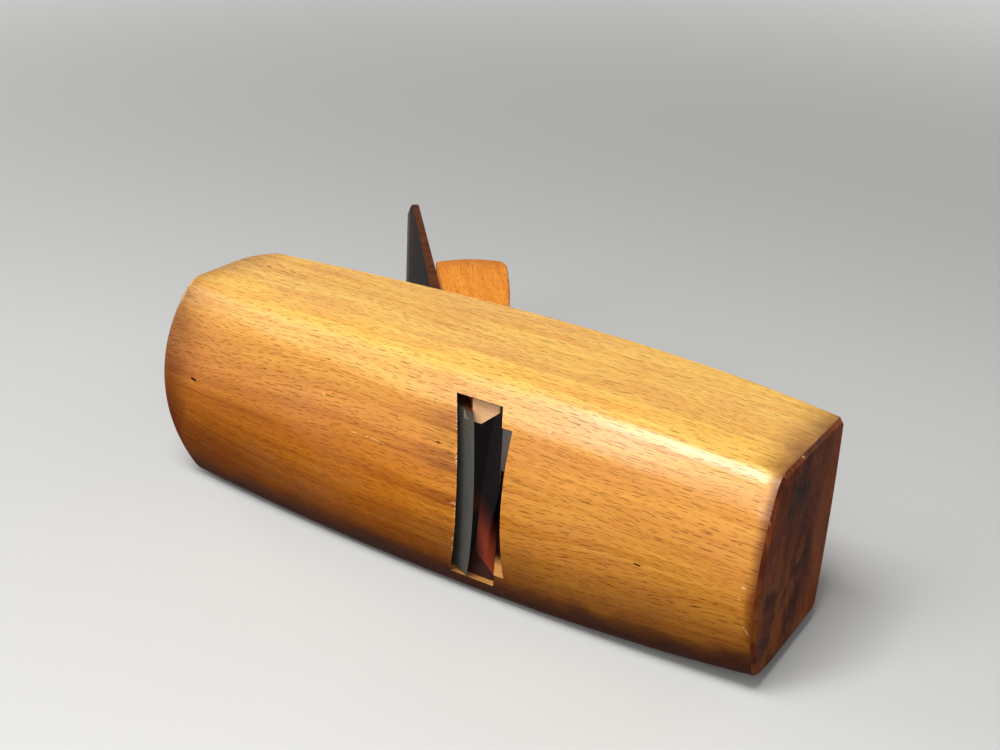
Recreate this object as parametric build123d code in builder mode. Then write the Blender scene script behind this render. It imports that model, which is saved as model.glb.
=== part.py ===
from build123d import *
from math import cos, radians, sin, sqrt, tan
import os

# Lengths are in millimetres and angles in degrees.
# The plane lies on one cheek: +X points to the toe, +Y from the sole to the top
# and +Z up across the width. The origin is under the middle of the resting cheek.

# Stock
stock_width = 69.0
stock_height = 58.8
toe_reach = 87.0
heel_reach = 116.8
toe_width = 59.8
heel_width = 67.4
sole_length_radius = 925.0
sole_cross_radius = 66.6
sole_edge_round = 6.5
top_length_radius = 1040.0
top_cross_radius = 350.0
top_chamfer_toe = 1.6
top_chamfer_heel = 3.2
toe_chamfer = 1.0
heel_bow_radius = 92.0
heel_top_round = 20.0
heel_round_depth = 15.5
heel_rim_round = 2.8

# Mortise, mouth and throat
bed_pitch = 50.7
abutment_angle = 9.1
abutment_foot = 13.1
abutment_width = 5.1
mortise_width = 55.8
mouth_front = 14.0
wear_height = 13.0
throat_lean = 21.0

# Iron
iron_width = 50.8
iron_length = 196.0
iron_thickness = 4.2
iron_taper = 0.010
iron_bevel = 30.0
iron_skew = 0.8
iron_set_in = 0.4
iron_corner_round = 12.0
iron_lip = 1.1
iron_lip_length = 7.0

# Wedge
wedge_leg_width = 7.6
wedge_tip_height = 8.0
wedge_fork_back = 22.0
wedge_shoulder = 72.0
wedge_head_height = 116.8
wedge_head_thickness = 24.0
wedge_head_dome = 3.0
wedge_head_round = 4.0
wedge_fork_chamfer = 5.5
wedge_edge_chamfer = 0.8

# Clearances
seat_gap = 0.10
side_gap = 0.35

middle = stock_width / 2
sole = -stock_height / 2
top = stock_height / 2
pitch_sin = sin(radians(bed_pitch))
pitch_cos = cos(radians(bed_pitch))
abutment_slope = tan(radians(abutment_angle))

# On the bed, sizes run up the bed from the sole and out from the bed.
bed_face = Plane(
    origin=(0, sole, middle),
    x_dir=(-pitch_cos, pitch_sin, 0),
    z_dir=(pitch_sin, pitch_cos, 0),
)
bed_side = Plane(bed_face * Rot(90, 0, 0))
bed_reach = 2 * stock_height / pitch_sin
side_room = mortise_width / 2 - side_gap


def abutment(up):
    """Distance of the abutment from the bed, at a height up the bed."""
    return abutment_foot * pitch_sin + (up + abutment_foot * pitch_cos) * abutment_slope


def arc_drop(radius, distance):
    """Drop of an arc of this radius, at a distance from its crown."""
    return radius - sqrt(radius ** 2 - distance ** 2)


# Stock: coffin-shaped beech block, its sole and top curved along and across
with BuildPart() as stock:
    for station in (-heel_reach, -heel_reach / 2, 0, toe_reach / 2, toe_reach):
        end_reach = toe_reach if station > 0 else heel_reach
        end_width = toe_width if station > 0 else heel_width
        half = middle - (stock_width - end_width) / 2 * (station / end_reach) ** 2
        low = sole + arc_drop(sole_length_radius, station)
        high = top - arc_drop(top_length_radius, station)
        low_rim = low + arc_drop(sole_cross_radius, half)
        high_rim = high - arc_drop(top_cross_radius, half)
        toe_share = (station + heel_reach) / (toe_reach + heel_reach)
        top_chamfer = top_chamfer_heel + (top_chamfer_toe - top_chamfer_heel) * toe_share
        with BuildSketch(Plane.YZ.offset(station)) as section:
            with BuildLine():
                sole_arc = ThreePointArc(
                    (low_rim, middle - half), (low, middle), (low_rim, middle + half)
                )
                top_arc = ThreePointArc(
                    (high_rim, middle + half), (high, middle), (high_rim, middle - half)
                )
                Line(sole_arc @ 1, top_arc @ 0)
                Line(top_arc @ 1, sole_arc @ 0)
            make_face()
            fillet(section.vertices().group_by(Axis.X)[0], radius=sole_edge_round)
            chamfer(section.vertices().group_by(Axis.X)[-1], length=top_chamfer)
    loft()

    # The heel is bowed across its width and rounded over at the top.
    bow_axis = Axis((heel_bow_radius - heel_reach, 0, middle), (0, 1, 0))
    heel_top = top - arc_drop(top_length_radius, heel_reach)
    with BuildSketch(Plane(origin=bow_axis.position, x_dir=(0, 0, -1), z_dir=(1, 0, 0))):
        with BuildLine():
            round_start = (heel_bow_radius, heel_top - heel_round_depth)
            heel_arc = JernArc(round_start, (0, 1), heel_top_round, 90)
            Polyline(
                heel_arc @ 1,
                (heel_bow_radius + stock_width, (heel_arc @ 1).Y),
                (heel_bow_radius + stock_width, -stock_height),
                (heel_bow_radius, -stock_height),
                round_start,
            )
        make_face()
    revolve(axis=bow_axis, revolution_arc=180, mode=Mode.SUBTRACT)
    heel_rim = stock.faces().filter_by(GeomType.CYLINDER).edges()
    heel_rim += stock.faces().filter_by(GeomType.TORUS).edges()
    heel_rim = [edge for edge in heel_rim if not edge.geom_type == GeomType.CIRCLE]
    fillet(heel_rim, radius=heel_rim_round)
    chamfer(stock.faces().sort_by(Axis.X)[-1].edges(), length=toe_chamfer)

    # The bed and the abutments hold the iron and the wedge.
    with BuildSketch(bed_side):
        with BuildLine():
            Polyline(
                (-bed_reach, 0),
                (bed_reach, 0),
                (bed_reach, abutment(bed_reach)),
                (-abutment_foot * pitch_cos, abutment_foot * pitch_sin),
                (-bed_reach, abutment_foot * pitch_sin),
                close=True,
            )
        make_face()
    extrude(amount=mortise_width / 2, both=True, mode=Mode.SUBTRACT)

    # The throat between the abutments lets the shavings out.
    throat_rise = 2 * stock_height
    throat_run = (throat_rise - wear_height) * tan(radians(throat_lean))
    with BuildSketch(Plane.XY.offset(middle)):
        with BuildLine():
            Polyline(
                (0, sole - stock_height),
                (mouth_front, sole - stock_height),
                (mouth_front, sole + wear_height),
                (mouth_front + throat_run, sole + throat_rise),
                (-throat_rise * pitch_cos / pitch_sin, sole + throat_rise),
                (0, sole),
                close=True,
            )
        make_face()
    extrude(amount=mortise_width / 2 - abutment_width, both=True, mode=Mode.SUBTRACT)
stock.part.label = "stock"

# Iron: tapered single iron, its edge ground to the round of the sole
iron_start = (iron_set_in - (iron_thickness + seat_gap) * pitch_cos) / pitch_sin
iron_middle = iron_width / 2 - side_room
iron_face = Plane(bed_face * Pos(iron_start, iron_middle, seat_gap) * Rot(0, 0, iron_skew))
camber = sole_cross_radius * pitch_sin
camber_face = Plane(iron_face * Pos(camber, 0, 0))
bevel_run = 1 / tan(radians(iron_bevel))
neck = iron_length - iron_lip_length
end_thickness = iron_thickness - iron_taper * iron_length

with BuildPart() as iron:
    # The top end is spread a little by hammer taps.
    with BuildSketch(Plane(iron_face * Rot(90, 0, 0))):
        with BuildLine():
            back = Line((0, 0), (neck, 0))
            back_lip = TangentArc(back @ 1, (iron_length - iron_lip, -iron_lip), tangent=(1, 0))
            front = Line((0, iron_thickness), (neck, iron_thickness - iron_taper * neck))
            front_lip = TangentArc(
                front @ 1,
                (iron_length - iron_lip, end_thickness + iron_lip),
                tangent=(1, -iron_taper),
            )
            ThreePointArc(back_lip @ 1, (iron_length, end_thickness / 2), front_lip @ 1)
            Line(back @ 0, front @ 0)
        make_face()
    extrude(amount=iron_width / 2, both=True)
    with BuildSketch(iron_face) as outline:
        with Locations((iron_length / 2, 0)):
            Rectangle(iron_length, iron_width)
        fillet(outline.vertices().group_by(Axis.X)[-1], radius=iron_corner_round)
    extrude(amount=iron_thickness + iron_lip, both=True, mode=Mode.INTERSECT)

    # The bevel follows the cambered edge.
    with BuildSketch(Plane(camber_face * Rot(0, 0, 90) * Rot(90, 0, 0))):
        with BuildLine():
            Polyline(
                (camber - 2 * iron_thickness * bevel_run, -iron_thickness),
                (camber + iron_thickness * bevel_run, 2 * iron_thickness),
                (camber + iron_width, 2 * iron_thickness),
                (camber + iron_width, -iron_thickness),
                close=True,
            )
        make_face()
    revolve(
        axis=Axis(camber_face.origin, camber_face.z_dir),
        revolution_arc=180,
        mode=Mode.SUBTRACT,
    )
iron.part.label = "iron"


def wedge_back(up):
    """Distance of the wedge's back from the bed: it lies on the iron."""
    return iron_thickness - iron_taper * (up - iron_start) + 2 * seat_gap


# Wedge: forked, so that the shavings pass up between its two legs
fork_half = side_room - wedge_leg_width
head_low = wedge_head_height - wedge_head_dome
head_front = wedge_back(head_low) + wedge_head_thickness

with BuildPart() as wedge:
    with BuildSketch(bed_side) as profile:
        with BuildLine():
            back = Line((0, wedge_back(0)), (head_low, wedge_back(head_low)))
            front = Line(
                (0, abutment(0) - seat_gap), (wedge_shoulder, abutment(wedge_shoulder) - seat_gap)
            )
            crown = ThreePointArc(
                back @ 1,
                (wedge_head_height, (wedge_back(head_low) + head_front) / 2),
                (head_low, head_front),
            )
            TangentArc(front @ 1, crown @ 1, tangent=front % 1)
            Line(back @ 0, front @ 0)
        make_face()
        fillet(profile.vertices().sort_by(Axis.Y)[-1], radius=wedge_head_round)
    extrude(amount=side_room, both=True)
    split(bisect_by=Plane.XZ.offset(-sole - wedge_tip_height), keep=Keep.BOTTOM)

    with BuildSketch(Plane.XZ):
        with BuildLine():
            spring = fork_half - wedge_fork_back
            crotch = ThreePointArc(
                (spring, middle - fork_half),
                (-wedge_fork_back, middle),
                (spring, middle + fork_half),
            )
            Polyline(
                crotch @ 1,
                (stock_height, middle + fork_half),
                (stock_height, middle - fork_half),
                crotch @ 0,
            )
        make_face()
    extrude(amount=stock_height, both=True, mode=Mode.SUBTRACT)
    crotch_face = wedge.faces().filter_by(GeomType.CYLINDER).sort_by(Axis.X)[-1]
    chamfer(crotch_face.edges().sort_by(Axis.Y)[-1], length=wedge_fork_chamfer)
    side_arcs = wedge.edges().filter_by(GeomType.CIRCLE).group_by(Axis.Z)
    chamfer(side_arcs[0] + side_arcs[-1], length=wedge_edge_chamfer)
wedge.part.label = "wedge"

os.makedirs("parts", exist_ok=True)
export_step(stock.part, "parts/stock.step")
export_step(iron.part, "parts/iron.step")
export_step(wedge.part, "parts/wedge.step")
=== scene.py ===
import math
import random

import bmesh
import bpy
from mathutils import Matrix, Vector


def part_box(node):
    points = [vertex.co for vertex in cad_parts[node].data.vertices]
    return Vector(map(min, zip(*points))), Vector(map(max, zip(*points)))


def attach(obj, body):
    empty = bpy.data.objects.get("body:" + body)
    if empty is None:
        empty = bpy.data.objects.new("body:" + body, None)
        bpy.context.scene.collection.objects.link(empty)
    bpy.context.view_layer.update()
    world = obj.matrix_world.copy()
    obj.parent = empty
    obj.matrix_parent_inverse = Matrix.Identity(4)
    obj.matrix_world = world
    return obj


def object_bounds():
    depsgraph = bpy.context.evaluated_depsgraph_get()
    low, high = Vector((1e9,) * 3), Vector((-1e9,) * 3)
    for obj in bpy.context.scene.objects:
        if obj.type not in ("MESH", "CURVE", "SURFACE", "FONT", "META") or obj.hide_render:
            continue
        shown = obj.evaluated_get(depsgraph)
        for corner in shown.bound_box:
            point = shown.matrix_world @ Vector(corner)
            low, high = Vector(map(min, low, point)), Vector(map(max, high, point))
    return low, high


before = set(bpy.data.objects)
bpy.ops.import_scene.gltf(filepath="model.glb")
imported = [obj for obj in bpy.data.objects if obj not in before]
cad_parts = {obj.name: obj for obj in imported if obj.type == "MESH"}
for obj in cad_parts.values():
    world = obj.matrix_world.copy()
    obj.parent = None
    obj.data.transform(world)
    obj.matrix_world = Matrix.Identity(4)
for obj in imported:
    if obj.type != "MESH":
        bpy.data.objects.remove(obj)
cad_low, cad_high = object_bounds()
stock_low, stock_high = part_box("stock")

MM = 0.001

# The shape of the stock, in millimetres
MIDDLE = (stock_low.z + stock_high.z) / 2 / MM
SOLE = stock_low.y / MM
SOLE_CROSS_RADIUS = 66.6
SOLE_LENGTH_RADIUS = 925.0
SOLE_EDGE_RISE = 9.6
SOLE_EDGE_SLOPE = 0.55
TOE_REACH = 87.0
TOE_NARROWING = 4.6

# The cuts in the stock and the fork of the wedge, in millimetres
BED_FOOT = Vector((0.0, SOLE, MIDDLE))
BED_PITCH = math.radians(50.7)
UP_BED = Vector((-math.cos(BED_PITCH), math.sin(BED_PITCH), 0.0))
OFF_BED = Vector((math.sin(BED_PITCH), math.cos(BED_PITCH), 0.0))
ABUTMENT_FOOT = 13.1
ABUTMENT_SLOPE = math.tan(math.radians(9.1))
MORTISE_HALF = 27.9
THROAT_HALF = 22.8
MOUTH_FRONT = 14.0
WEAR_HEIGHT = 13.0
THROAT_SLOPE = math.tan(math.radians(21.0))
FORK_HALF = 19.95
# How far a mask of the walls reaches past them
SKIN = 0.08

# The values between which most of a noise lies
NOISE_LOW = 0.3
NOISE_HIGH = 0.7
# The strength of the faintest fleck
FLECK_FAINTEST = 0.35
# The share of a mark's width that is marked in full
MARK_CORE = 0.35
# Half the width of the strip in the middle where the figure turns from one side to the other
TURN_HALF = 6.0


def shade(red, green, blue):
    """A colour as seen, 0 to 255 each, in the linear values that shaders take."""
    seen = [value / 255 for value in (red, green, blue)]
    linear = [v / 12.92 if v < 0.04045 else ((v + 0.055) / 1.055) ** 2.4 for v in seen]
    return (*linear, 1.0)


# The beech of the stock
AMBER_LIGHT = shade(220, 133, 34)
AMBER_DARK = shade(174, 91, 16)
HONEY_LIGHT = shade(252, 208, 104)
HONEY_DARK = shade(230, 164, 58)
BLOTCH_BROWN = shade(206, 130, 70)
GRAIN_BROWN = shade(168, 92, 24)
FLECK_BROWN = shade(80, 38, 8)
# Stain and painted shade on the lower half, the heel, the toe and the lower rim
STAIN_AND_SHADE_BROWN = shade(94, 36, 12)
RIM_BROWN = shade(52, 20, 14)
NICK_BLACK = shade(38, 14, 8)
TORN_PALE = shade(250, 214, 150)
# Walls of the mouth: dark with dirt and painted shade, and bare wood painted pale as lit where it
# faces up
WALL_BROWN = shade(46, 22, 15)
WALL_BLACK = shade(26, 14, 11)
RAW_LIGHT = shade(206, 150, 84)
RAW_DARK = shade(176, 116, 58)

# The end grain of the toe
END_BROWN = shade(60, 26, 18)
END_RED = shade(140, 68, 34)
END_BLACK = shade(40, 18, 15)
END_RUST = shade(166, 84, 36)
END_WARM = shade(150, 84, 34)
END_GRIT = shade(190, 120, 76)

# The beech of the wedge
WEDGE_LIGHT = shade(236, 152, 46)
WEDGE_DARK = shade(214, 122, 28)
WEDGE_MOTTLE = shade(192, 104, 26)
WEDGE_FLECK = shade(110, 54, 16)
WEDGE_CROWN = shade(150, 78, 26)
# Dirt and painted shade in the fork, and a painted pool of light on its lower edge
FORK_DIRT_AND_SHADE = shade(24, 15, 13)
FORK_RED = shade(198, 82, 48)
# Leg tips: pale end grain painted as lit, and dark with dirt and painted shade
LEG_LIGHT = shade(240, 190, 142)
LEG_DARK = shade(226, 160, 98)
LEG_DIRT_AND_SHADE = shade(58, 28, 24)

# The iron
IRON_BLACK = shade(25, 25, 26)
IRON_BROWN = shade(37, 31, 28)
RUST_DARK = shade(62, 37, 27)
RUST_LIGHT = shade(112, 61, 31)
RUST_END = shade(86, 56, 40)
BEVEL_DARK = shade(78, 77, 72)
BEVEL_LIGHT = shade(98, 97, 92)
BEVEL_DUST = shade(104, 88, 68)
CURL_PALE = shade(236, 206, 160)

# The torn fibres and the floor
FIBRE_LIGHT = shade(250, 220, 164)
FIBRE_DARK = shade(224, 174, 104)
FLOOR_PALE = shade(198, 198, 196)
FLOOR_DIM = shade(110, 110, 112)


class Graph:
    """Adds nodes to one node tree. A value is a number, a colour, a vector or a node's socket."""

    def __init__(self, tree):
        self.tree = tree

    def node(self, kind, inputs=(), **settings):
        made = self.tree.nodes.new("ShaderNode" + kind)
        for name, value in settings.items():
            setattr(made, name, value)
        for key, value in dict(inputs).items():
            self.feed(made.inputs[key], value)
        return made

    def feed(self, socket, value):
        if isinstance(value, bpy.types.NodeSocket):
            self.tree.links.new(value, socket)
        else:
            socket.default_value = value

    def group(self, tree, inputs):
        return self.node("Group", inputs, node_tree=tree).outputs

    def math(self, operation, first, second=0.0, clamp=False):
        made = self.node("Math", {0: first, 1: second}, operation=operation, use_clamp=clamp)
        return made.outputs[0]

    def vector(self, operation, first, second):
        made = self.node("VectorMath", {0: first, 1: second}, operation=operation)
        return made.outputs["Value" if operation in ("DOT_PRODUCT", "DISTANCE") else "Vector"]

    def split(self, vector):
        return self.node("SeparateXYZ", {0: vector}).outputs

    def squares(self, first, second):
        """The sum of two squares."""
        first_square = self.math("MULTIPLY", first, first)
        return self.math("ADD", first_square, self.math("MULTIPLY", second, second))

    def zone(self, value, start, full):
        """Rises smoothly from 0 at start to 1 at full."""
        inputs = {"Value": value, "From Min": start, "From Max": full}
        return self.node("MapRange", inputs, interpolation_type="SMOOTHSTEP").outputs[0]

    def spread(self, value, low, high):
        """Stretches the middle of a noise to run from low to high."""
        inputs = {"Value": value, "From Min": NOISE_LOW, "From Max": NOISE_HIGH}
        inputs.update({"To Min": low, "To Max": high})
        return self.node("MapRange", inputs).outputs[0]

    def mix(self, share, first, second):
        """The first colour where share is nought, and the second where it is one."""
        made = self.node("Mix", {0: share, 6: first, 7: second}, data_type="RGBA")
        return made.outputs[2]

    def noise(self, vector, size, detail=2.0, roughness=0.5):
        """Noise whose lumps are about size across, one number for all ways or one for each."""
        sizes = size if isinstance(size, tuple) else (size, size, size)
        scaled = self.vector("MULTIPLY", vector, tuple(1 / s for s in sizes))
        inputs = {"Vector": scaled, "Scale": 1.0, "Detail": detail, "Roughness": roughness}
        return self.node("TexNoise", inputs).outputs[0]

    def flecks(self, along, around, spacing, half):
        """Dashes about spacing apart, whose half length and half width are in half."""
        grid = self.node("CombineXYZ", {
            0: self.math("DIVIDE", along, spacing[0]),
            1: self.math("DIVIDE", around, spacing[1]),
        }).outputs[0]
        inputs = {"Vector": grid, "Scale": 1.0}
        cell = self.node("TexVoronoi", inputs, voronoi_dimensions="2D").outputs
        chance = self.node("SeparateColor", {0: cell["Color"]}).outputs
        off = self.split(self.vector("SUBTRACT", grid, cell["Position"]))
        length = self.math("ADD", self.math("MULTIPLY", chance[0], half[0]), half[0] / 2)
        run = self.math("DIVIDE", self.math("MULTIPLY", off["X"], spacing[0]), length)
        rise = self.math("MULTIPLY", off["Y"], spacing[1] / half[1])
        stronger = self.math("MULTIPLY", chance[1], 1 - FLECK_FAINTEST)
        strength = self.math("ADD", stronger, FLECK_FAINTEST)
        return self.math("MULTIPLY", self.zone(self.squares(run, rise), 1.0, 0.25), strength)

    def every(self, *masks):
        """One only where every mask is."""
        found = masks[0]
        for mask in masks[1:]:
            found = self.math("MULTIPLY", found, mask)
        return found

    def any(self, *masks):
        """One where any mask is."""
        found = masks[0]
        for mask in masks[1:]:
            found = self.math("MAXIMUM", found, mask)
        return found

    def less(self, mask):
        """One where the mask is nought."""
        return self.math("SUBTRACT", 1.0, mask)

    def part(self, mask, share):
        return self.math("MULTIPLY", mask, share)


def new_group(name, inputs, outputs):
    """A node group with named sockets, its graph, and its input and output sockets."""
    group = bpy.data.node_groups.new(name, "ShaderNodeTree")
    for label, kind in inputs:
        group.interface.new_socket(label, in_out="INPUT", socket_type="NodeSocket" + kind)
    for label, kind in outputs:
        group.interface.new_socket(label, in_out="OUTPUT", socket_type="NodeSocket" + kind)
    graph = Graph(group)
    given = group.nodes.new("NodeGroupInput").outputs
    result = group.nodes.new("NodeGroupOutput").inputs
    return group, graph, given, result


# Three sets of flecks, in millimetres: shift along the grain, spacing, half size and strength
FLECK_SETS = [
    (0.0, (3.8, 1.7), (1.6, 0.13), 1.0),
    (31.7, (4.5, 2.1), (1.9, 0.12), 1.0),
    (57.1, (2.9, 1.3), (0.7, 0.10), 0.5),
]


def make_beech_figure():
    """The figure of beech, on a place in millimetres with X along the grain and a way around it."""
    inputs = [("Grain", "Vector"), ("Around", "Float")]
    outputs = [("Fleck", "Float"), ("Streak", "Float"), ("Blotch", "Float"), ("Fibre", "Float")]
    group, graph, given, result = new_group("beech_figure", inputs, outputs)
    grain = given["Grain"]
    along = graph.split(grain)["X"]
    drift = graph.noise(grain, (60.0, 18.0, 18.0), detail=1.0)
    around = graph.math("ADD", given["Around"], graph.part(drift, 9.0))
    flecks = []
    for shift, spacing, half, strength in FLECK_SETS:
        shifted = graph.math("ADD", along, shift)
        flecks.append(graph.part(graph.flecks(shifted, around, spacing, half), strength))
    bent = graph.node("CombineXYZ", {0: along, 1: around, 2: drift}).outputs[0]
    streak = graph.noise(bent, (90.0, 2.6, 1.0), detail=5.0, roughness=0.65)
    graph.feed(result["Fleck"], graph.any(*flecks))
    graph.feed(result["Streak"], streak)
    graph.feed(result["Blotch"], graph.noise(grain, (34.0, 13.0, 13.0), detail=3.0))
    graph.feed(result["Fibre"], graph.noise(bent, (16.0, 0.45, 1.0), detail=2.0))
    return group


def make_mark():
    """A nick or scratch from one point to another."""
    inputs = [("Point", "Vector"), ("From", "Vector"), ("To", "Vector"), ("Width", "Float")]
    group, graph, given, result = new_group("mark", inputs, [("Mask", "Float")])
    along = graph.vector("SUBTRACT", given["To"], given["From"])
    reach = graph.vector("SUBTRACT", given["Point"], given["From"])
    square = graph.vector("DOT_PRODUCT", along, along)
    share = graph.math("DIVIDE", graph.vector("DOT_PRODUCT", reach, along), square, clamp=True)
    nearest = graph.node("VectorMath", {0: along, "Scale": share}, operation="SCALE")
    off = graph.vector("DISTANCE", reach, nearest.outputs["Vector"])
    width_share = graph.math("DIVIDE", off, given["Width"])
    graph.feed(result["Mask"], graph.zone(width_share, 1.0, MARK_CORE))
    return group


beech_figure = make_beech_figure()
mark = make_mark()


def new_material(name):
    """A material, its graph, its shader, and its place in millimetres and facing."""
    material = bpy.data.materials.new(name)
    material.use_nodes = True
    graph = Graph(material.node_tree)
    shader = material.node_tree.nodes["Principled BSDF"]
    place = graph.node("TexCoord")
    millimetres = graph.vector("MULTIPLY", place.outputs["Object"], (1000.0, 1000.0, 1000.0))
    return material, graph, shader, millimetres, place.outputs["Normal"]


def bump(graph, heights, normal=None):
    """Chains bump nodes, each a height and what a full height measures in millimetres."""
    for height, depth in heights:
        made = graph.node("Bump", {"Height": height, "Distance": depth * MM, "Strength": 1.0})
        if normal:
            graph.feed(made.inputs["Normal"], normal)
        normal = made.outputs[0]
    return normal


def along_bed(graph, point):
    """Distances up the bed and off it, and across from the middle of the stock."""
    from_foot = graph.vector("SUBTRACT", point, tuple(BED_FOOT))
    up_bed = graph.vector("DOT_PRODUCT", from_foot, tuple(UP_BED))
    off_bed = graph.vector("DOT_PRODUCT", from_foot, tuple(OFF_BED))
    across = graph.math("ABSOLUTE", graph.split(from_foot)["Z"])
    return up_bed, off_bed, across


def inside_cuts(graph, point):
    """One on the walls of the mortise and the throat, nought on the outside of the stock."""
    x, y, _ = graph.split(point)
    up_bed, off_bed, across = along_bed(graph, point)
    on_bed = graph.math("GREATER_THAN", off_bed, -SKIN)
    foot_off = ABUTMENT_FOOT * math.sin(BED_PITCH)
    foot_up = ABUTMENT_FOOT * math.cos(BED_PITCH)
    rise = graph.math("MAXIMUM", graph.math("ADD", up_bed, foot_up), 0.0)
    abutment = graph.math("ADD", graph.part(rise, ABUTMENT_SLOPE), foot_off + SKIN)
    in_mortise = graph.every(
        on_bed,
        graph.math("LESS_THAN", off_bed, abutment),
        graph.math("LESS_THAN", across, MORTISE_HALF + SKIN),
    )
    above_wear = graph.math("SUBTRACT", y, SOLE + WEAR_HEIGHT)
    lean = graph.part(graph.math("MAXIMUM", above_wear, 0.0), THROAT_SLOPE)
    in_throat = graph.every(
        on_bed,
        graph.math("LESS_THAN", x, graph.math("ADD", lean, MOUTH_FRONT + SKIN)),
        graph.math("LESS_THAN", across, THROAT_HALF + SKIN),
    )
    return graph.any(in_mortise, in_throat)


# Marks on the stock, in millimetres: from, to and half the width
NICKS = [
    ((-102.3, -23.5, 39.6), (-100.6, -23.7, 39.4), 0.55),
    ((53.9, -27.8, 32.6), (55.4, -27.7, 32.4), 0.35),
    ((-8.0, -27.9, 48.5), (-6.9, -28.0, 48.5), 0.30),
]
SCRATCHES = [
    ((-37.5, -28.1, 42.9), (-31.0, -28.3, 43.1), 0.24),
    ((-29.9, -28.3, 43.1), (-25.6, -28.5, 42.9), 0.30),
    ((-54.0, -26.0, 49.9), (-53.8, -26.0, 49.9), 0.45),
    ((-48.8, -26.1, 50.8), (-48.2, -26.1, 50.5), 0.55),
    ((24.4, -24.0, 59.9), (24.7, -24.0, 59.8), 0.40),
    ((82.8, -25.7, 35.2), (83.2, -25.7, 35.2), 0.60),
    ((82.0, -25.5, 31.6), (82.2, -25.5, 31.4), 0.40),
    ((83.8, -24.7, 23.6), (85.2, -24.2, 21.5), 0.28),
    ((86.4, -5.2, 64.2), (86.5, -3.8, 64.1), 0.50),
]
# Curls of wood stuck to the bevel, seen from the sole
CURLS = [
    ((-3.1, 0.0, 57.3), (-2.0, 0.0, 56.2), 0.17),
    ((-2.0, 0.0, 56.2), (-1.0, 0.0, 55.8), 0.15),
    ((-3.0, 0.0, 56.4), (-2.4, 0.0, 55.5), 0.13),
]


def all_marks(graph, point, places):
    """One on every mark of a list."""
    masks = []
    for start, end, width in places:
        inputs = {"Point": point, "From": start, "To": end, "Width": width}
        masks.append(graph.group(mark, inputs)["Mask"])
    return graph.any(*masks)


# In the finishes below, places are in millimetres and facings run from -1 to 1.


def around_stock(graph, y, aside):
    """A way around the stock, over which the figure goes on from the sole to both cheeks."""
    turn = graph.math("MINIMUM", graph.part(aside, 1 / TURN_HALF), 1.0)
    turn = graph.math("MAXIMUM", turn, -1.0)
    depth = graph.math("SUBTRACT", y, SOLE)
    return graph.math("ADD", aside, graph.math("MULTIPLY", turn, depth))


def toe_narrowing(graph, x):
    """How far each cheek has drawn in, from the middle of the stock to the toe."""
    share = graph.part(graph.math("MAXIMUM", x, 0.0), 1 / TOE_REACH)
    return graph.part(graph.math("MULTIPLY", share, share), TOE_NARROWING)


def end_grain(graph, point, rays):
    """The end grain of the toe, black and red-brown with dirt."""
    _, y, z = graph.split(point)
    dirt = graph.noise(point, (20.0, 11.0, 14.0), detail=3.0)
    spots = graph.noise(point, (9.0, 7.0, 12.0), detail=3.0)
    wood = graph.mix(graph.spread(rays, 0.0, 1.0), END_BROWN, END_RED)
    wood = graph.mix(graph.spread(dirt, -0.5, 1.2), wood, END_BLACK)
    rusty = graph.every(graph.zone(y, 2.0, 22.0), graph.spread(rays, 0.2, 1.0))
    wood = graph.mix(graph.part(rusty, 0.7), wood, END_RUST)
    warm = graph.every(graph.zone(z, 46.0, 28.0), graph.zone(spots, 0.46, 0.60))
    wood = graph.mix(graph.part(warm, 0.65), wood, END_WARM)
    grit = graph.flecks(z, y, (5.2, 3.2), (0.9, 0.22))
    return graph.mix(graph.part(grit, 0.55), wood, END_GRIT)


def worn_edges(graph, x, y, aside, narrower):
    """Heights that wear the edges of the sole and the toe rounder than they were cut."""
    curve = graph.part(graph.math("MULTIPLY", x, x), 1 / (2 * SOLE_LENGTH_RADIUS))
    edge_y = graph.math("ADD", curve, SOLE + SOLE_EDGE_RISE)
    edge_y = graph.math("SUBTRACT", edge_y, graph.part(narrower, SOLE_EDGE_SLOPE))
    edge_z = graph.math("SUBTRACT", MIDDLE, narrower)
    off_y = graph.math("SUBTRACT", y, edge_y)
    off_z = graph.math("SUBTRACT", graph.math("ABSOLUTE", aside), edge_z)
    off_edge = graph.math("SQRT", graph.squares(off_y, off_z))
    return graph.zone(off_edge, 1.0, 12.0), graph.zone(x, 87.2, 81.5)


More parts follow.
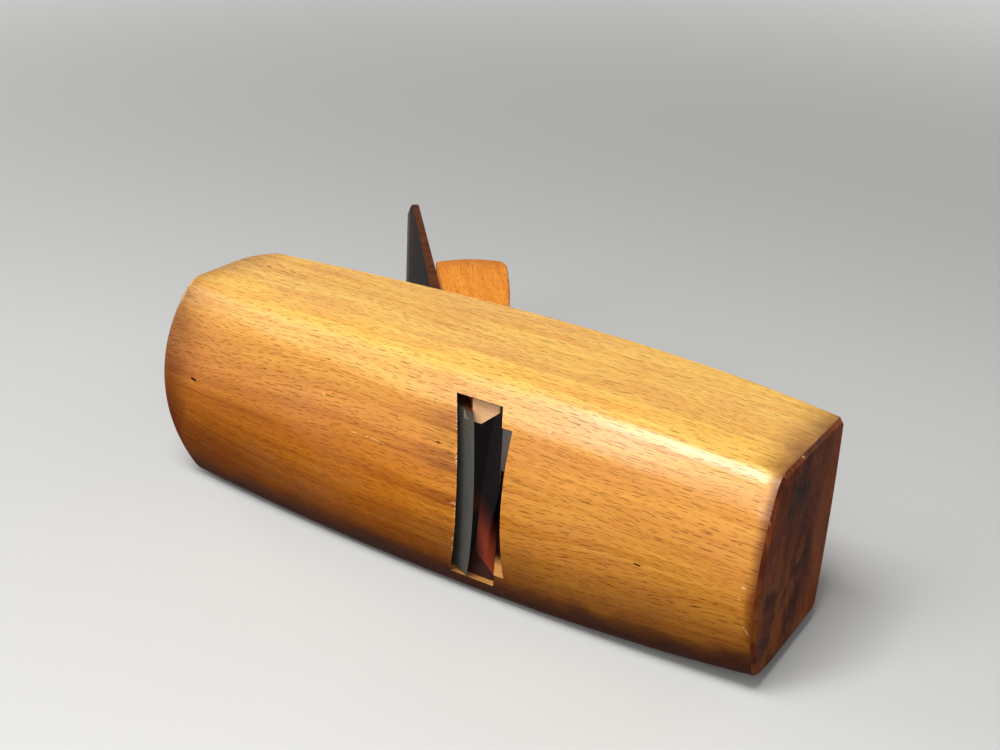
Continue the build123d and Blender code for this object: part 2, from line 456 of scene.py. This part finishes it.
def stock_beech():
    """Oiled beech, dark at its rims with stain and painted shade, with end grain at the toe and
    bare walls in the mouth.
    """
    material, graph, shader, point, facing = new_material("stock_beech")
    x, y, z = graph.split(point)
    nx, ny, nz = graph.split(facing)
    _, off_bed, across = along_bed(graph, point)
    aside = graph.math("SUBTRACT", z, MIDDLE)
    narrower = toe_narrowing(graph, x)
    around = around_stock(graph, y, aside)
    figure = graph.group(beech_figure, {"Grain": point, "Around": around})
    streak = graph.spread(figure["Streak"], 0.0, 1.0)
    soft = graph.noise(point, 11.0, detail=3.0)
    ragged = graph.spread(soft, -2.0, 2.0)

    # The sole is amber and the cheeks are honey-coloured; the paler colour over the upper half of
    # the sole and towards the toe is painted light.
    amber = graph.mix(streak, AMBER_LIGHT, AMBER_DARK)
    honey = graph.mix(streak, HONEY_LIGHT, HONEY_DARK)
    cheek = graph.any(graph.zone(nz, -0.05, 0.75), graph.zone(nz, -0.6, -0.9))
    pale_and_lit = graph.any(graph.part(cheek, 0.95), graph.part(graph.zone(x, -30.0, 40.0), 0.35))
    wood = graph.mix(pale_and_lit, amber, honey)
    wood = graph.mix(graph.spread(figure["Blotch"], -0.2, 0.4), wood, BLOTCH_BROWN)
    wood = graph.mix(graph.spread(figure["Fibre"], 0.0, 0.25), wood, GRAIN_BROWN)
    aslant = graph.zone(graph.math("ABSOLUTE", nz), 0.2, 0.5)
    top_edge = graph.every(graph.zone(ny, 0.2, 0.5), aslant)
    flecks = graph.every(figure["Fleck"], graph.less(top_edge))
    wood = graph.mix(graph.part(flecks, 0.85), wood, FLECK_BROWN)

    # Handling and wax have darkened the rims and the wood behind the mouth, and painted shade
    # darkens the lower half, the lower rim, the lower heel and the cheek at the toe.
    height = graph.math("ADD", graph.math("SUBTRACT", z, narrower), ragged)
    ragged_x = graph.math("ADD", x, ragged)
    # Darker towards the bottom and at the lower rim: partly stain, partly painted shade.
    low = graph.zone(height, 32.0, 2.0)
    rim = graph.zone(height, 13.0, 3.0)
    heel = graph.zone(ragged_x, -94.0, -117.0)
    heel_low = graph.every(heel, graph.zone(z, 62.0, 24.0))
    toe_start = graph.math("SUBTRACT", 83.0, graph.part(graph.zone(nz, 0.80, 0.97), 9.0))
    toe = graph.zone(ragged_x, toe_start, 88.0)
    toe_edge = graph.zone(graph.math("ADD", x, graph.part(ragged, 0.4)), 82.8, 86.4)
    handled_and_shaded = graph.every(graph.zone(x, 10.0, -110.0), graph.zone(z, 48.0, 8.0))
    behind_mouth = graph.every(
        graph.zone(x, -20.0, -3.0),
        graph.zone(x, 2.0, 0.0),
        graph.zone(across, 34.0, 20.0),
        graph.zone(figure["Streak"], 0.42, 0.62),
    )
    stain_and_shade = graph.any(
        graph.part(low, 0.85),
        graph.part(heel, 0.75),
        graph.part(heel_low, 0.95),
        graph.part(handled_and_shaded, 0.75),
        graph.part(toe, 0.75),
        graph.part(toe_edge, 0.85),
        graph.part(behind_mouth, 0.45),
    )
    wood = graph.mix(stain_and_shade, wood, STAIN_AND_SHADE_BROWN)
    wood = graph.mix(graph.part(rim, 0.85), wood, RIM_BROWN)

    end = graph.zone(nx, 0.15, 0.75)
    rays = graph.noise(point, (8.0, 0.8, 9.0), detail=5.0, roughness=0.65)
    wood = graph.mix(end, wood, end_grain(graph, point, rays))

    # The marks, and the frayed edge of the bed
    nicks = all_marks(graph, point, NICKS)
    broken = graph.zone(graph.noise(point, 0.9, detail=2.0), 0.40, 0.52)
    scratches = graph.every(all_marks(graph, point, SCRATCHES), broken)
    frayed = graph.every(
        graph.zone(graph.math("ABSOLUTE", off_bed), 0.55, 0.1),
        graph.math("LESS_THAN", across, MORTISE_HALF),
        graph.zone(y, -15.0, -19.0),
        graph.zone(graph.noise(point, (1.0, 1.0, 1.3), detail=3.0), 0.57, 0.65),
    )
    wood = graph.mix(nicks, wood, NICK_BLACK)
    wood = graph.mix(graph.part(graph.any(scratches, frayed), 0.48), wood, TORN_PALE)

    # The walls of the mouth are dark with dirt and painted shade, and bare where they face up near
    # the sole, painted pale as lit.
    inside = inside_cuts(graph, point)
    bare_and_lit = graph.every(graph.zone(nz, 0.5, 0.8), graph.zone(y, -15.0, -20.0))
    wall = graph.mix(graph.part(streak, 0.6), WALL_BROWN, WALL_BLACK)
    wall = graph.mix(bare_and_lit, wall, graph.mix(streak, RAW_LIGHT, RAW_DARK))
    graph.feed(shader.inputs["Base Color"], graph.mix(inside, wood, wall))

    # The wax shines least on the ends, in the cuts and pores, and where the wood is darkened by
    # stain and painted shade.
    shader.inputs["Specular IOR Level"].default_value = 0.03
    shader.inputs["Coat Roughness"].default_value = 0.33
    shader.inputs["Coat IOR"].default_value = 1.7
    polish = graph.every(
        graph.less(end),
        graph.zone(nx, -0.7, -0.2),
        graph.less(inside),
        graph.less(nicks),
        graph.zone(nz, -0.15, 0.4),
    )
    worn = graph.every(graph.less(graph.part(stain_and_shade, 0.4)), graph.spread(soft, 0.8, 1.0))
    dull = graph.any(graph.part(scratches, 0.7), graph.part(flecks, 0.85))
    graph.feed(shader.inputs["Coat Weight"], graph.every(polish, worn, graph.less(dull)))
    rough = graph.math("ADD", graph.part(flecks, 0.2), graph.spread(soft, 0.50, 0.62))
    rough = graph.math("ADD", rough, graph.part(inside, 0.3), clamp=True)
    graph.feed(shader.inputs["Roughness"], rough)

    # The wax follows the wear, and the pores and fibres lie under it.
    unworn, unworn_toe = worn_edges(graph, x, y, aside, narrower)
    broad = graph.noise(point, (46.0, 15.0, 15.0), detail=2.0)
    pitted = graph.part(rays, end)
    wear = [(unworn, 1.6), (unworn_toe, 0.7), (broad, 0.5), (soft, 0.2), (pitted, 0.35)]
    waxed = bump(graph, wear)
    pores = graph.less(graph.any(flecks, nicks))
    grained = bump(graph, [(pores, 0.05), (figure["Fibre"], 0.015)], waxed)
    graph.feed(shader.inputs["Coat Normal"], waxed)
    graph.feed(shader.inputs["Normal"], grained)
    return material


def wedge_beech():
    """Bright beech with its grain down the wedge; the fork black with dirt and painted shade, the
    leg tips painted lit and shaded.
    """
    material, graph, shader, point, facing = new_material("wedge_beech")
    _, y, z = graph.split(point)
    nx, ny, _ = graph.split(facing)
    up_bed, off_bed, across = along_bed(graph, point)
    turn = {"Vector": point, "Rotation": (0.0, 0.0, math.pi - BED_PITCH)}
    grain = graph.node("Mapping", turn, vector_type="TEXTURE").outputs[0]
    around = graph.math("ADD", z, off_bed)
    figure = graph.group(beech_figure, {"Grain": grain, "Around": around})
    mottle = graph.noise(point, 3.0, detail=4.0, roughness=0.65)
    wood = graph.mix(graph.spread(figure["Streak"], 0.0, 1.0), WEDGE_LIGHT, WEDGE_DARK)
    wood = graph.mix(graph.spread(mottle, -0.2, 0.4), wood, WEDGE_MOTTLE)
    wood = graph.mix(graph.part(figure["Fleck"], 0.7), wood, WEDGE_FLECK)
    crown = graph.zone(up_bed, 105.0, 117.0)
    wood = graph.mix(graph.part(crown, 0.5), wood, WEDGE_CROWN)

    # The fork is black with dirt and painted shade, and its edge towards the tip of the lower leg
    # is red-brown, a painted pool of light.
    forward = graph.every(graph.zone(ny, 0.49, 0.46), graph.zone(nx, -0.4, -0.2))
    between = graph.every(forward, graph.math("LESS_THAN", across, FORK_HALF + 0.2))
    on_edge = graph.every(forward, graph.zone(nx, 0.3, 0.5), graph.zone(y, 30.0, 26.0))
    lit_red_edge = graph.every(
        on_edge,
        graph.zone(y, 6.0, -14.0),
        graph.zone(off_bed, 6.0, 11.0),
        graph.zone(z, MIDDLE - 12.0, MIDDLE - 18.0),
    )
    in_fork = graph.any(between, on_edge)
    wood = graph.mix(in_fork, wood, graph.mix(lit_red_edge, FORK_DIRT_AND_SHADE, FORK_RED))

    # The tip of the upper leg is painted pale as lit and clean but for its front, and that of the
    # lower leg dark with dirt and painted shade: lit and shaded copies of one end grain.
    tip = graph.zone(ny, -0.6, -0.9)
    upper = graph.zone(z, MIDDLE - 2.0, MIDDLE + 2.0)
    clean_and_lit = graph.every(upper, graph.zone(off_bed, 11.3, 10.5))
    clean_lit_wood = graph.mix(graph.spread(mottle, 0.0, 0.4), LEG_LIGHT, LEG_DARK)
    wood = graph.mix(tip, wood, graph.mix(clean_and_lit, LEG_DIRT_AND_SHADE, clean_lit_wood))

    graph.feed(shader.inputs["Base Color"], wood)
    shader.inputs["Specular IOR Level"].default_value = 0.15
    graph.feed(shader.inputs["Roughness"], graph.math("ADD", graph.part(in_fork, 0.4), 0.45))
    pores = graph.less(figure["Fleck"])
    grained = bump(graph, [(mottle, 0.12), (pores, 0.04), (figure["Fibre"], 0.02)])
    graph.feed(shader.inputs["Normal"], grained)
    return material


def iron_steel():
    """Blackened iron with rust on its sides and a dull grey bevel."""
    material, graph, shader, point, facing = new_material("iron_steel")
    _, y, z = graph.split(point)
    _, ny, nz = graph.split(facing)
    mottle = graph.noise(point, 4.0, detail=5.0, roughness=0.65)
    grime = graph.spread(mottle, 0.0, 1.0)
    skin = graph.mix(grime, IRON_BLACK, IRON_BROWN)
    side = graph.zone(graph.math("ABSOLUTE", nz), 0.5, 0.8)
    rust = graph.mix(grime, RUST_DARK, RUST_LIGHT)
    skin = graph.mix(graph.part(side, 0.85), skin, rust)
    end = graph.zone(y, 100.0, 120.0)
    skin = graph.mix(graph.every(end, graph.spread(mottle, 0.0, 0.7)), skin, RUST_END)

    # Lines of the grindstone, dust and curls of wood on the bevel
    bevel = graph.zone(ny, -0.72, -0.85)
    lines = graph.noise(point, (0.25, 0.25, 9.0), detail=3.0)
    steel = graph.mix(graph.spread(lines, 0.0, 1.0), BEVEL_DARK, BEVEL_LIGHT)
    dust = graph.every(graph.zone(z, 48.0, 58.0), graph.spread(mottle, -0.3, 0.9))
    steel = graph.mix(dust, steel, BEVEL_DUST)
    flat = graph.vector("MULTIPLY", point, (1.0, 0.0, 1.0))
    steel = graph.mix(graph.part(all_marks(graph, flat, CURLS), 0.8), steel, CURL_PALE)

    graph.feed(shader.inputs["Base Color"], graph.mix(bevel, skin, steel))
    graph.feed(shader.inputs["Metallic"], graph.part(bevel, 0.35))
    graph.feed(shader.inputs["Roughness"], graph.math("SUBTRACT", 0.75, graph.part(bevel, 0.25)))
    shader.inputs["Specular IOR Level"].default_value = 0.04
    graph.feed(shader.inputs["Normal"], bump(graph, [(mottle, 0.15)]))
    return material


def fibre_wood():
    """Pale torn wood."""
    material, graph, shader, point, _ = new_material("fibre_wood")
    tone = graph.spread(graph.noise(point, 1.5), 0.0, 1.0)
    graph.feed(shader.inputs["Base Color"], graph.mix(tone, FIBRE_LIGHT, FIBRE_DARK))
    shader.inputs["Roughness"].default_value = 0.6
    return material


finishes = {"stock": stock_beech(), "wedge": wedge_beech(), "iron": iron_steel()}
for node_name, finish in finishes.items():
    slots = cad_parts[node_name].data.materials
    slots.clear()
    slots.append(finish)


# Long fibres, in millimetres: place across, run and rise from root to tip, thickness and bow
LONG_FIBRES = [
    (61.8, (-3.4, 1.0), 0.16, 0.15),
    (60.2, (-5.8, 1.3), 0.15, 0.15),
    (62.2, (-0.7, 2.6), 0.15, 0.10),
    (46.6, (-1.2, 0.9), 0.20, 0.10),
    (32.9, (-2.4, -0.9), 0.17, 0.10),
    (32.2, (-1.6, 0.4), 0.15, 0.10),
]
# The roots lie in the wood, just behind the edge of the bed.
LONG_ROOT = Vector((-0.15, 0.05, 0.0))
SHORT_ROOT = Vector((-0.20, 0.05, 0.0))
SHORT_COUNT = 26
SHORT_BOW = 0.05
FIBRE_SEED = 4
FIBRE_SIDES = 5
FIBRE_STEPS = 4


def bed_edge(z):
    """Where the bed comes out of the sole, at a place across it."""
    depth = SOLE_CROSS_RADIUS - math.sqrt(SOLE_CROSS_RADIUS ** 2 - (z - MIDDLE) ** 2)
    return Vector((-depth / math.tan(BED_PITCH), SOLE + depth, z))


def add_fibre(mesh, root, tip, thickness, bow):
    """A thin tapered sliver from root to tip, bowed out from the sole by bow, in millimetres."""
    way = tip - root
    first = len(mesh.verts)
    made = bmesh.ops.create_cone(
        mesh,
        cap_ends=True,
        segments=FIBRE_SIDES,
        radius1=thickness / 2,
        radius2=thickness / 8,
        depth=1.0,
    )
    edges = {edge for vert in made["verts"] for edge in vert.link_edges}
    long_edges = [edge for edge in edges if abs(edge.verts[0].co.z - edge.verts[1].co.z) > 0.5]
    bmesh.ops.subdivide_edges(mesh, edges=long_edges, cuts=FIBRE_STEPS)
    mesh.verts.ensure_lookup_table()
    turn = way.to_track_quat("Z", "Y").to_matrix()
    for vert in mesh.verts[first:]:
        share = vert.co.z + 0.5
        ring = turn @ Vector((vert.co.x, vert.co.y, 0.0))
        lift = Vector((0.0, -bow * 4 * share * (1 - share), 0.0))
        vert.co = (root + way * share + ring + lift) * MM


def make_mouth_fibres():
    """Torn fibres on the edge of the bed, where the iron has pushed the wood out."""
    chance = random.Random(FIBRE_SEED)
    mesh = bmesh.new()
    for z, (run, rise), thickness, bow in LONG_FIBRES:
        tip = bed_edge(z + rise) + Vector((run, -0.10, 0.0))
        add_fibre(mesh, bed_edge(z) + LONG_ROOT, tip, thickness, bow)
    for _ in range(SHORT_COUNT):
        # Some lie anywhere along the edge, and the others in two tufts.
        anywhere = chance.uniform(8.0, 61.0)
        tufts = chance.gauss(46.0, 2.0), chance.gauss(57.0, 2.0)
        z = chance.choice((anywhere, *tufts))
        run = chance.uniform(-0.7, -0.2)
        rise = chance.uniform(-0.6, 0.6)
        tip = bed_edge(z + rise) + Vector((run, -chance.uniform(0.10, 0.30), 0.0))
        thickness = chance.uniform(0.18, 0.34)
        add_fibre(mesh, bed_edge(z) + SHORT_ROOT, tip, thickness, SHORT_BOW)
    bmesh.ops.recalc_face_normals(mesh, faces=mesh.faces)
    data = bpy.data.meshes.new("mouth_fibres")
    mesh.to_mesh(data)
    mesh.free()
    data.materials.append(fibre_wood())
    piece = bpy.data.objects.new("mouth_fibres", data)
    bpy.context.collection.objects.link(piece)
    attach(piece, "stock")


make_mouth_fibres()


def seen_directly(graph):
    """One where a thing is seen, mirrored or looked through, nought where it only gives light."""
    rays = graph.node("LightPath").outputs
    return graph.any(rays["Is Camera Ray"], rays["Is Glossy Ray"], rays["Is Transmission Ray"])


# The floor glows from this near to this far, in metres, so that it stays pale in the distance.
GLOW_NEAR = 0.25
GLOW_FAR = 1.5
GLOW_STRENGTH = 0.72
FLOOR_SIZE = 8.0


def floor_finish():
    """Pale where it is seen or mirrored, and darker in the light that it sends back up."""
    material = bpy.data.materials.new("floor_paper")
    material.use_nodes = True
    graph = Graph(material.node_tree)
    shader = material.node_tree.nodes["Principled BSDF"]
    seen = seen_directly(graph)
    graph.feed(shader.inputs["Base Color"], graph.mix(seen, FLOOR_DIM, FLOOR_PALE))
    place = graph.node("TexCoord").outputs["Object"]
    far = graph.vector("DISTANCE", place, (0.0, 0.0, 0.0))
    glow = graph.part(graph.zone(far, GLOW_NEAR, GLOW_FAR), GLOW_STRENGTH)
    shader.inputs["Emission Color"].default_value = FLOOR_PALE
    graph.feed(shader.inputs["Emission Strength"], graph.every(seen, glow))
    shader.inputs["Roughness"].default_value = 0.9
    shader.inputs["Specular IOR Level"].default_value = 0.1
    return material


bpy.ops.mesh.primitive_plane_add(size=FLOOR_SIZE, location=(0, 0, cad_low.z))
floor = bpy.context.object
floor.name = "floor"
floor.data.materials.append(floor_finish())


def soft_light(name, place, size, power):
    """A lamp at a place in metres, with its two sides in size, that faces the mouth."""
    lamp = bpy.data.lights.new(name, "AREA")
    lamp.shape = "RECTANGLE"
    lamp.size, lamp.size_y = size
    lamp.energy = power
    made = bpy.data.objects.new(name, lamp)
    made.location = place
    away = Vector(place) - BED_FOOT * MM
    made.rotation_euler = away.to_track_quat("Z", "Y").to_euler()
    bpy.context.collection.objects.link(made)


soft_light("key_light", place=(-0.28, -0.70, 0.68), size=(0.30, 0.55), power=2.4)
soft_light("low_light", place=(-0.28, -0.88, 0.42), size=(0.45, 0.2), power=0.8)
soft_light("top_light", place=(0.0, -0.43, 0.90), size=(0.5, 0.36), power=9.4)
soft_light("heel_light", place=(-0.68, -0.34, 0.58), size=(0.25, 0.25), power=0.6)
soft_light("toe_light", place=(0.20, -0.32, 0.19), size=(0.2, 0.2), power=0.42)
soft_light("back_light", place=(0.9, 1.9, 0.45), size=(1.4, 0.7), power=11.5)
soft_light("side_light", place=(-1.9, 0.5, 0.28), size=(0.8, 0.4), power=11.0)

WORLD_LIGHT = 0.05
WORLD_SEEN = 0.35


def studio_world():
    """Dim in the light that it gives, and paler where it is seen or mirrored."""
    world = bpy.data.worlds.new("studio")
    world.use_nodes = True
    graph = Graph(world.node_tree)
    background = world.node_tree.nodes["Background"]
    paler = graph.part(seen_directly(graph), WORLD_SEEN)
    background.inputs["Color"].default_value = (1.0, 1.0, 1.0, 1.0)
    graph.feed(background.inputs["Strength"], graph.math("ADD", paler, WORLD_LIGHT))
    return world


bpy.context.scene.world = studio_world()

# The camera stands where the photograph was taken from.
CAMERA_PLACE = (183.3, -315.97, 223.75)
CAMERA_AZIMUTH = math.radians(30.896)
CAMERA_ELEVATION = math.radians(24.076)
CAMERA_ROLL = math.radians(3.0)
CAMERA_LENS = 51.151
CAMERA_SENSOR = 36.0
CAMERA_NEAREST = 0.01
camera = bpy.data.objects.new("camera", bpy.data.cameras.new("camera"))
camera.data.lens = CAMERA_LENS
camera.data.sensor_width = CAMERA_SENSOR
camera.data.clip_start = CAMERA_NEAREST
camera.matrix_world = (
    Matrix.Translation(Vector(CAMERA_PLACE) * MM)
    @ Matrix.Rotation(CAMERA_AZIMUTH, 4, "Z")
    @ Matrix.Rotation(math.pi / 2 - CAMERA_ELEVATION, 4, "X")
    @ Matrix.Rotation(CAMERA_ROLL, 4, "Z")
)
bpy.context.collection.objects.link(camera)
bpy.context.scene.camera = camera
bpy.context.scene.view_settings.view_transform = "Standard"
